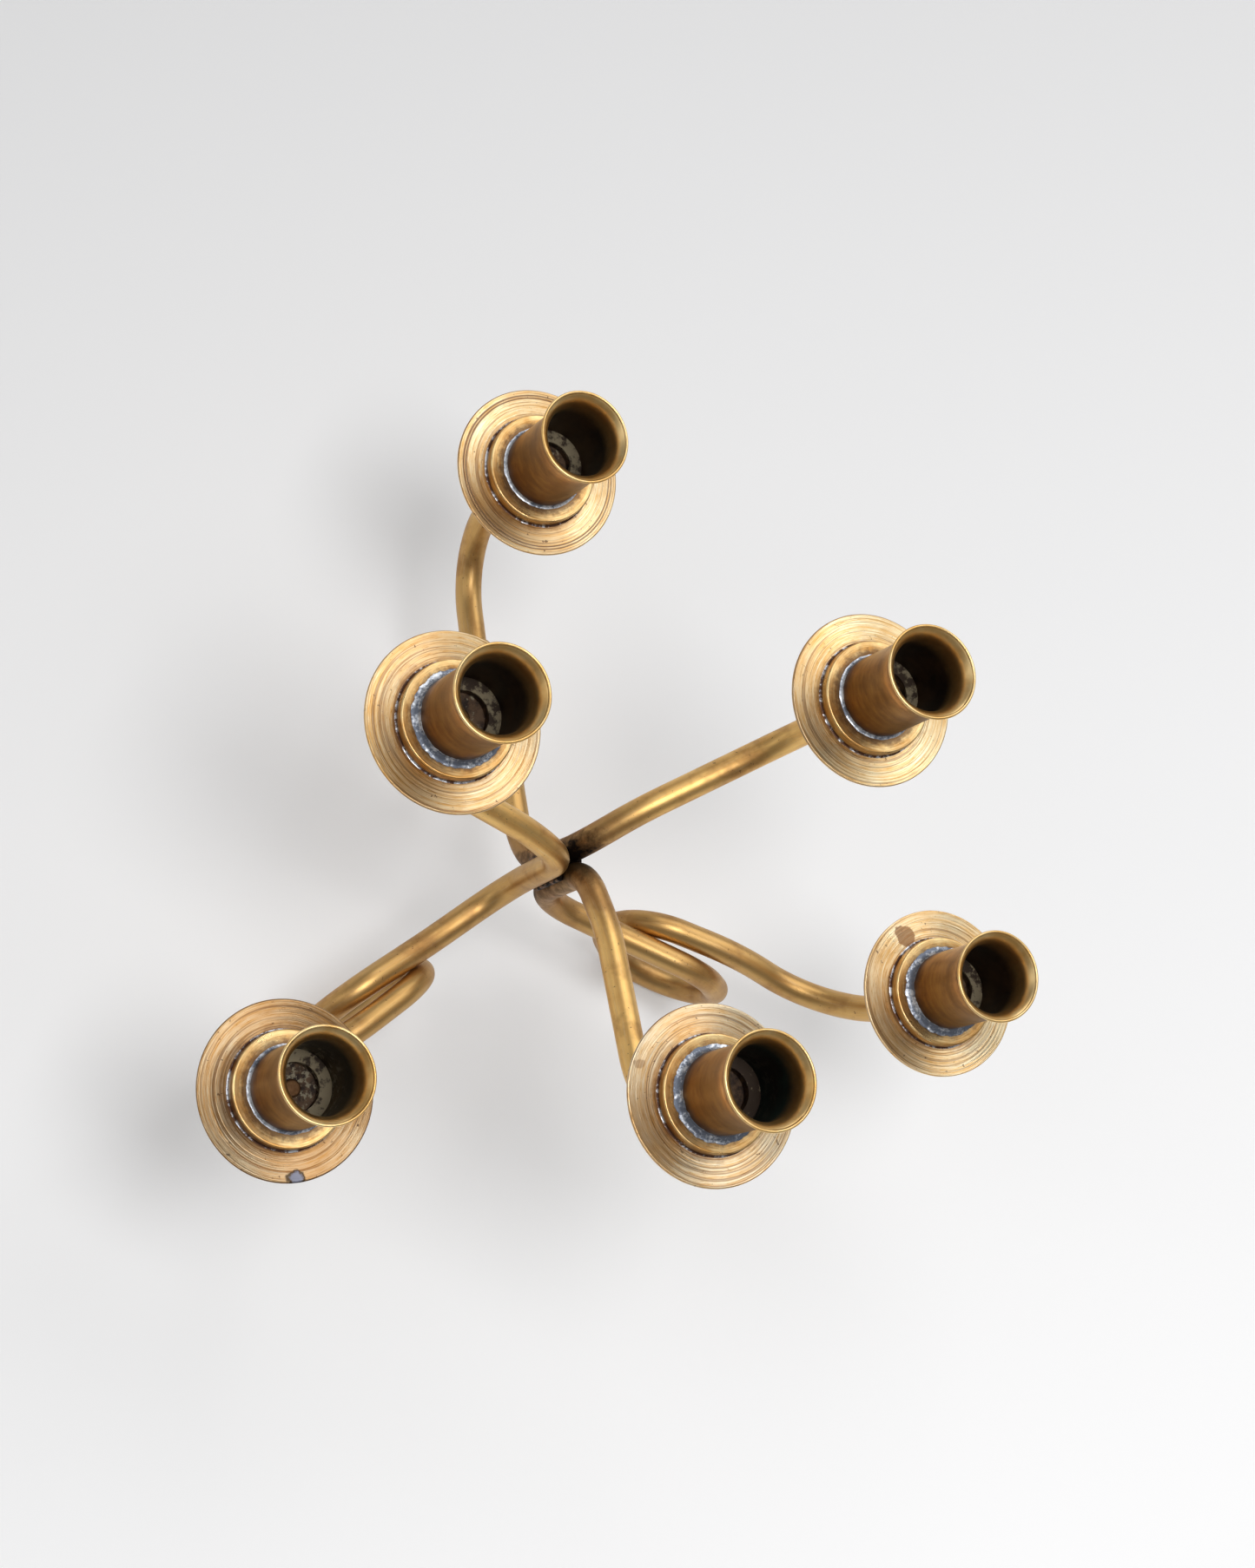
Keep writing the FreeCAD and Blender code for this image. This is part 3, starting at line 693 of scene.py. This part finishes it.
# blots are (x, y, size, colour, strength); tarnishAndPaintedLight darkens or lightens a whole dish,
# partly as tarnish and partly as painted light and shade
dish = {"edge": 0.35, "edgeSteps": 5, "flatStep": 3.0, "scoredTo": 16.0, "ringStep": 0.11,
        "toolDepth": 0.014, "toolWear": 0.6, "grooveDepth": 0.05, "grooveHalf": 0.22,
        "outOfRound": (0.03, 0.08), "grooves": {"low_2": (23.3, 22.5)},
        "blots": {"high_1": [(-21.0, 7.0, 1.2, "brown", 0.5)],
                  "low_1": [(-10.8, 16.6, 3.0, "brown", 0.85)],
                  "low_3": [(3.2, -23.7, 2.1, "soot", 0.85), (3.2, -23.4, 1.2, "slate", 0.9)]},
        "tarnishAndPaintedLight": {"high_1": (0.87, 0.85, 0.87), "low_1": (1.1, 1.1, 1.1), "high_2": (1.06, 1.07, 1.05),
                   "low_2": (0.93, 0.90, 0.86), "high_3": (0.86, 0.83, 0.80), "low_3": (0.47, 0.42, 0.39)}}


def makeDish(tag, seed):
    centre, low, _, radius, thick = measure(f"drip_dish_{tag}")
    edge, steps, hole = dish["edge"], dish["edgeSteps"], cup["tenonHole"]
    grooves = dish["grooves"].get(tag, ())
    marks = random.Random(seed)
    outline = run((hole, 0), (radius - edge, 0), dish["flatStep"])
    outline += arc((radius - edge, edge), edge, -90, 0, steps)
    outline += arc((radius - edge, thick - edge), edge, 0, 90, steps)
    # tool marks on the upper face, each a little deeper or shallower than the last
    bite = 0.0
    for x, z in run((radius - edge, thick), (dish["scoredTo"], thick), dish["ringStep"])[1:]:
        bite = dish["toolWear"] * bite + marks.uniform(0, dish["toolDepth"])
        cut = sum(max(0, 1 - abs(x - groove) / dish["grooveHalf"]) for groove in grooves)
        outline.append((x, z - bite - dish["grooveDepth"] * cut))
    outline += run((dish["scoredTo"], thick), (hole, thick), dish["flatStep"]) + [(hole, thick)]
    finish = dishBrass(f"dishBrass_{tag}", seed, dish["tarnishAndPaintedLight"][tag], dish["blots"].get(tag, ()), grooves)
    mesh = turn(outline, (centre.x, centre.y, low.z), finish, outOfRound=marks.uniform(*dish["outOfRound"]),
                mouth=thick, seed=seed)
    addPiece(f"dripDish_{tag}", [mesh], f"drip_dish_{tag}")


collar = {"edge": 0.5, "edgeSteps": 8, "rim": 0.2, "rimSteps": 4, "recess": 13.6, "recessDepth": 3,
          "footStep": 3.0, "wallStep": 0.4, "topStep": 0.3, "spigotStep": 1.0, "floorStep": 0.5,
          "crust": {"low_3": 0.7, "low_2": 0.4, "high_2": 0.2, "high_1": -1.2}}


def makeCollar(tag, seed):
    centre, low, _, radius, _ = measure(f"collar_{tag}")
    edge, rim, hole, top = collar["edge"], collar["rim"], cup["tenonHole"], cup["collarHeight"]
    spigot = cup["tubeRadius"] - cup["tubeWall"] + cup["seatRelief"] - cup["seatGap"]
    spigotTop = top + cup["spigotHeight"]
    recess = collar["recess"] / 2
    floor = spigotTop - collar["recessDepth"]
    outline = run((hole, 0), (radius, 0), collar["footStep"])
    outline += run((radius, 0), (radius, top - edge), collar["wallStep"])
    outline += arc((radius - edge, top - edge), edge, 0, 90, collar["edgeSteps"])
    outline += run((radius - edge, top), (spigot, top), collar["topStep"])[1:]
    outline += run((spigot, top), (spigot, spigotTop - rim), collar["spigotStep"])
    outline += arc((spigot - rim, spigotTop - rim), rim, 0, 90, collar["rimSteps"])
    outline += run((spigot - rim, spigotTop), (recess, spigotTop), collar["floorStep"])[1:]
    outline += run((recess, spigotTop), (recess, floor), collar["floorStep"])
    outline += run((recess, floor), (hole, floor), collar["floorStep"]) + [(hole, floor)]
    finish = collarBrass(f"collarBrass_{tag}", collar["crust"].get(tag, 0.0))
    mesh = turn(outline, (centre.x, centre.y, low.z), finish, seed=seed)
    addPiece(f"collar_{tag}", [mesh], f"collar_{tag}")


# grimeAndShade is the bore's dark and light colour, soot and painted shade, and how flaky it is near the
# floor
tube = {"flareHeight": 9, "funnelDepth": 4.5, "lipThickness": 0.9, "lipSteps": 12, "flareSteps": 24,
        "footStep": 0.5, "wallStep": 1.2, "outOfRound": 0.16, "sharp": 50,
        "plainGrimeAndShade": ((0.008, 0.004, 0.003), (0.056, 0.028, 0.012), 0.0),
        "grimeAndShade": {"high_1": ((0.003, 0.005, 0.005), (0.014, 0.036, 0.032), 0.15),
                  "low_3": ((0.014, 0.009, 0.005), (0.085, 0.052, 0.022), 0.7)}}


def flare(wall, mouth, foot, top):
    # the arc that leaves an upright wall at its foot and reaches the lip
    out = mouth - wall
    rise = top - foot
    size = (rise ** 2 + out ** 2) / (2 * out)
    end = math.degrees(math.asin(rise / size))
    return arc((wall + size, foot), size, 180, 180 - end, tube["flareSteps"])


def makeTube(tag, seed):
    centre, low, _, lip, length = measure(f"candle_tube_{tag}")
    step, outer = tube["wallStep"], cup["tubeRadius"]
    bore = outer - cup["tubeWall"]
    seat = bore + cup["seatRelief"]
    seatTop = cup["spigotHeight"] + cup["seatGap"]
    half = tube["lipThickness"] / 2
    start = length - tube["flareHeight"]
    funnel = length - tube["funnelDepth"]
    outline = run((seat, 0), (outer, 0), tube["footStep"])
    outline += run((outer, 0), (outer, start), step)
    outline += flare(outer, lip, start, length - half)
    outline += arc((lip - half, length - half), half, 0, 180, tube["lipSteps"])[1:]
    outline += flare(bore, lip - 2 * half, funnel, length - half)[::-1][1:]
    outline += run((bore, funnel), (bore, seatTop), step)[1:] + [(bore, seatTop)]
    outline += run((seat, seatTop), (seat, 0), step)
    finish = tubeBrass(f"tubeBrass_{tag}", *tube["grimeAndShade"].get(tag, tube["plainGrimeAndShade"]))
    mesh = turn(outline, (centre.x, centre.y, low.z), finish, outOfRound=tube["outOfRound"], mouth=length,
                seed=seed * 2.3)
    addPiece(f"candleTube_{tag}", [mesh], f"candle_tube_{tag}", tube["sharp"])


solder = {"waves": 5.0, "uneven": 0.55, "segments": 220, "wideFrom": 1.5, "gap": 0.05, "sink": 0.04,
          "steps": 8, "sharp": 60, "underGap": 0.1, "underWaves": 3.0, "underUneven": 0.35,
          "underSegments": 120}


def fillet(wall, size):
    # hollow-faced corner of solder outside a wall, with its foot outwards
    sink, steps = solder["sink"], solder["steps"]
    angles = [math.radians(90 * n / steps) for n in range(steps + 1)]
    curve = [(wall + size * (1 - math.sin(a)) + sink, size * (1 - math.cos(a)) + sink) for a in angles]
    return [(wall, 0), (wall + size + 2 * sink, 0)] + curve + [(wall, size + 2 * sink)]


def makeSolder(tag, seed):
    # round the tube's foot, in the corner between collar and dish, and under the dish
    for kind, wall in (("tube", cup["tubeRadius"]), ("dish", None)):
        node = f"{kind}_solder_{tag}"
        centre, low, high, outer, size = measure(node)
        inner = wall or outer - size - solder["gap"]
        width = "wide" if size > solder["wideFrom"] else "thin"
        finish = finishes[f"{width}Solder" if wall else "cornerSolder"]
        mesh = turn(fillet(inner, size - solder["gap"]), (centre.x, centre.y, low.z), finish, anchor=inner,
                    uneven=solder["uneven"], waves=solder["waves"], seed=seed * 5 + size,
                    segments=solder["segments"])
        addPiece(f"{kind}Solder_{tag}", [mesh], node, solder["sharp"])
    centre, low, high, outer, size = measure(f"rod_solder_{tag}")
    outline = [(x, -z) for x, z in fillet(rod["radius"], size - solder["underGap"])]
    mesh = turn(outline, (centre.x, centre.y, high.z), finishes["wideSolder"], anchor=rod["radius"],
                uneven=solder["underUneven"], waves=solder["underWaves"], seed=seed * 9,
                segments=solder["underSegments"])
    addPiece(f"rodSolder_{tag}", [mesh], f"rod_solder_{tag}", solder["sharp"])


# the rod's corners are (reach from the axis, turn about it, height, bend radius); waist and hip lie
# in the bundle, whose reach is added. An arm is (its turn, its high end's further turn and reach, its
# low end's further reach). The tenon's foot and top are heights above the rod's end

rod = {"radius": 4, "gap": 0.1, "highSeat": 150.5, "lowSeat": 98,
       "stem": (73, -84, 107.5, 22), "neck": (21, -77, 94, 60), "waist": (0, -52, 85, 13),
       "hip": (0, -41.5, 43.5, 17), "thigh": (32.5, -24.5, 40.5, 60), "shin": (74.5, -16.5, 44.5, 85),
       "knee": (116, -20, 36, 26),
       "loop": {"reach": 58, "turn": -20, "plane": -19.5, "radius": 19.5, "lean": -0.2, "pass": 12,
                "bends": 6},
       "arms": {1: (3, -0.5, 3.5, 1), 2: (-0.5, -3.5, 0, -3.5), 3: (-1, 8, -6, 1)},
       "scorch": {1: 0.8, 2: 1.0, 3: 0.12}, "step": 0.8, "cornerSteps": 40, "sides": 56,
       "handWork": 0.07, "tenonRadius": 2.5, "tenonTop": 6.6, "tenonFoot": -1, "tenonDome": 0.8,
       "tenonStep": 0.5, "domeSteps": 6, "tenonSides": 48}


def polar(reach, turnAngle, height):
    angle = math.radians(turnAngle)
    return Vector((reach * math.cos(angle), reach * math.sin(angle), height))


def corner(name, turnBy, further=0.0):
    reach, angle, height, bend = rod[name]
    return polar(reach + further, angle + turnBy, height), bend


def rodRoute(arm):
    # corners of the rod's centreline from its high cup to its low one, each with its bend radius
    turnBy, highTurn, highReach, lowReach = rod["arms"][arm]
    base = (arm - 1) * 120
    swing = base + turnBy
    bundle = (2 * rod["radius"] + rod["gap"]) / math.sqrt(3)
    stem = corner("stem", swing + highTurn, highReach)
    neck = corner("neck", swing + highTurn / 2, highReach / 2)
    knee = corner("knee", swing, lowReach)
    start = (Vector((stem[0].x, stem[0].y, rod["highSeat"])), 0)
    end = (Vector((knee[0].x, knee[0].y, rod["lowSeat"])), 0)
    inward = [start, stem, neck, corner("waist", base, bundle)]
    outward = [corner("hip", base, bundle), corner("thigh", swing)]
    return inward + outward + loopCorners(swing) + [corner("shin", swing), knee, end]


def loopCorners(swing):
    # corners round the foot loop, which drifts sideways so that the rod passes itself
    loop = rod["loop"]
    plane = loop["plane"] + swing
    outward = polar(1, plane, 0)
    sideways = polar(1, plane + 90, 0)
    centre = polar(loop["reach"], loop["turn"] + swing, rod["radius"] + loop["radius"])
    size = loop["radius"] / math.cos(math.pi / loop["bends"])
    corners = []
    for step in range(loop["bends"]):
        progress = (step + 0.5) / loop["bends"]
        height = size * math.cos(2 * math.pi * progress)
        across = size * math.sin(2 * math.pi * progress) + loop["lean"] * height
        drift = loop["pass"] * (progress - 0.5)
        place = centre + outward * across + sideways * drift + Vector((0, 0, height))
        corners.append((place, loop["radius"]))
    return corners


def routeObject(points):
    curve = bpy.data.curves.new("route", "CURVE")
    curve.dimensions = "3D"
    spline = curve.splines.new("POLY")
    spline.points.add(len(points) - 1)
    for target, (point, bend) in zip(spline.points, points):
        target.co = (*(point * mm), 1)
        target.radius = bend * mm
    return bpy.data.objects.new("route", curve)


def makeRod(arm):
    finish = rodBrass(f"rodBrass_{arm}", rod["scorch"][arm])
    route = rodRoute(arm)
    values = {"Rod Radius": rod["radius"] * mm, "Corner Steps": rod["cornerSteps"],
              "Step": rod["step"] * mm, "Sides": rod["sides"], "Hand Work": rod["handWork"] * mm,
              "Seed": float(arm), "Material": finish}
    meshes = [bake(routeObject(route), trees["rod"], values)]
    size, top, foot, dome = rod["tenonRadius"], rod["tenonTop"], rod["tenonFoot"], rod["tenonDome"]
    for end in (route[0][0], route[-1][0]):
        # the rod's turned-down end, riveted over in the floor of the cup
        outline = [(0, foot)] + run((size, foot), (size, top - dome), rod["tenonStep"])
        outline += arc((size - dome, top - dome), dome, 0, 90, rod["domeSteps"]) + [(0, top)]
        meshes.append(turn(outline, end * mm, finish, closed=False, segments=rod["tenonSides"]))
    addPiece(f"bentRod_{arm}", meshes, f"bent_rod_{arm}")


braze = {"radius": 1.05, "thinEnd": 0.25, "step": 0.35, "sides": 28, "lumps": 0.5, "above": 0.5,
         "sharp": 80}


def makeBraze(arm):
    node = f"bundle_braze_{arm}"
    centre, low, high, _, _ = measure(node)
    foot = Vector((centre.x, centre.y, low.z)) / mm
    top = Vector((centre.x, centre.y, high.z)) / mm + Vector((0, 0, braze["above"]))
    values = {"Bead Radius": braze["radius"] * mm, "Thin End": braze["thinEnd"],
              "Step": braze["step"] * mm, "Sides": braze["sides"], "Lumps": braze["lumps"] * mm,
              "Seed": float(arm), "Material": finishes["braze"]}
    mesh = bake(routeObject([(foot, 0), (top, 0)]), trees["bead"], values)
    addPiece(f"bundleBraze_{arm}", [mesh], node, braze["sharp"])


for number, tag in enumerate(cupTags, start=1):
    makeDish(tag, number)
    makeCollar(tag, number)
    makeTube(tag, number)
    makeSolder(tag, number)
print("cups turned")

for arm in arms:
    makeRod(arm)
for arm in arms:
    makeBraze(arm)
print("rods bent and brazed")


# floor, lamps and world. Here lengths are metres; paintedGlow is the painted light that makes the
# floor paler at the two ends of fall, distantGlow its painted paleness beyond the object, over the
# reaches of away

studio = {"floor": (0.70, 0.70, 0.705), "half": 6.0, "roughness": 0.9, "paintedGlow": (0.02, 0.36),
          "fall": (0.36, -0.30), "slant": 0.4, "distantGlow": 0.50, "away": (0.8, 2.2),
          "world": 0.22, "horizon": 0.66, "horizonTop": 0.45, "target": (0, 0, 0.09)}

lamps = {"key": {"aim": (-0.03, -0.06, 1.0), "away": 1.9, "size": (0.9, 0.7), "watts": 16.0},
         "sky": {"aim": (0.28, 0.62, 0.74), "away": 1.9, "size": (2.2, 1.4), "watts": 18.0},
         "fill": {"aim": (-0.80, 0.10, 0.60), "away": 1.6, "size": (0.6, 1.3), "watts": 2.5}}


def addLamp(name, facts):
    data = bpy.data.lights.new(name, "AREA")
    data.shape = "RECTANGLE"
    data.size, data.size_y = facts["size"]
    data.energy = facts["watts"]
    lamp = bpy.data.objects.new(name, data)
    scene.collection.objects.link(lamp)
    aim = Vector(facts["aim"]).normalized()
    place = Vector(studio["target"]) + aim * facts["away"]
    lamp.matrix_world = Matrix.Translation(place) @ aim.to_track_quat("Z", "Y").to_matrix().to_4x4()


def seenRays(tree):
    # 1 for what the camera sees directly or in a reflection, 0 for light that falls on the object
    rays = addNode(tree, "ShaderNodeLightPath").outputs
    return calc(tree, "MAXIMUM", rays["Is Camera Ray"], rays["Is Glossy Ray"])


def addFloor():
    mesh = bpy.data.meshes.new("floor")
    half = studio["half"]
    corners = [(-half, -half, 0), (half, -half, 0), (half, half, 0), (-half, half, 0)]
    mesh.from_pydata(corners, [], [(0, 1, 2, 3)])
    floor = bpy.data.objects.new("floor", mesh)
    scene.collection.objects.link(floor)
    material, tree, shader = startMaterial("floorPaper", metallic=0.0)
    shader.inputs["Base Color"].default_value = (*studio["floor"], 1)
    shader.inputs["Roughness"].default_value = studio["roughness"]
    shader.inputs["Emission Color"].default_value = (1, 1, 1, 1)
    place = objectPlace(tree)
    x, y, _ = splitVector(tree, place)
    # painted light: the floor glows for the camera and in reflections, paler towards one side and far away
    far = calc(tree, "SUBTRACT", y, calc(tree, "MULTIPLY", x, studio["slant"]))
    pale = remap(tree, far, *studio["fall"], *studio["paintedGlow"])
    distantGlow = remap(tree, axisReach(tree, place), *studio["away"], 0.0, studio["distantGlow"])
    pale = calc(tree, "MAXIMUM", pale, distantGlow)
    tree.links.new(calc(tree, "MULTIPLY", seenRays(tree), pale), shader.inputs["Emission Strength"])
    mesh.materials.append(material)


def addWorld():
    world = bpy.data.worlds.new("studio")
    scene.world = world
    world.use_nodes = True
    tree = world.node_tree
    back = tree.nodes["Background"]
    back.inputs["Color"].default_value = (1, 1, 1, 1)
    # pale at the horizon, without lighting the object more
    height = splitVector(tree, addNode(tree, "ShaderNodeTexCoord").outputs["Generated"])[2]
    pale = remap(tree, height, 0.0, studio["horizonTop"], studio["horizon"], studio["world"], smooth=True)
    extra = calc(tree, "MULTIPLY", calc(tree, "SUBTRACT", pale, studio["world"]), seenRays(tree))
    tree.links.new(add(tree, extra, studio["world"]), back.inputs["Strength"])


for name, facts in lamps.items():
    addLamp(name, facts)
addFloor()
addWorld()
scene.view_settings.view_transform = "Standard"
print("studio lit")
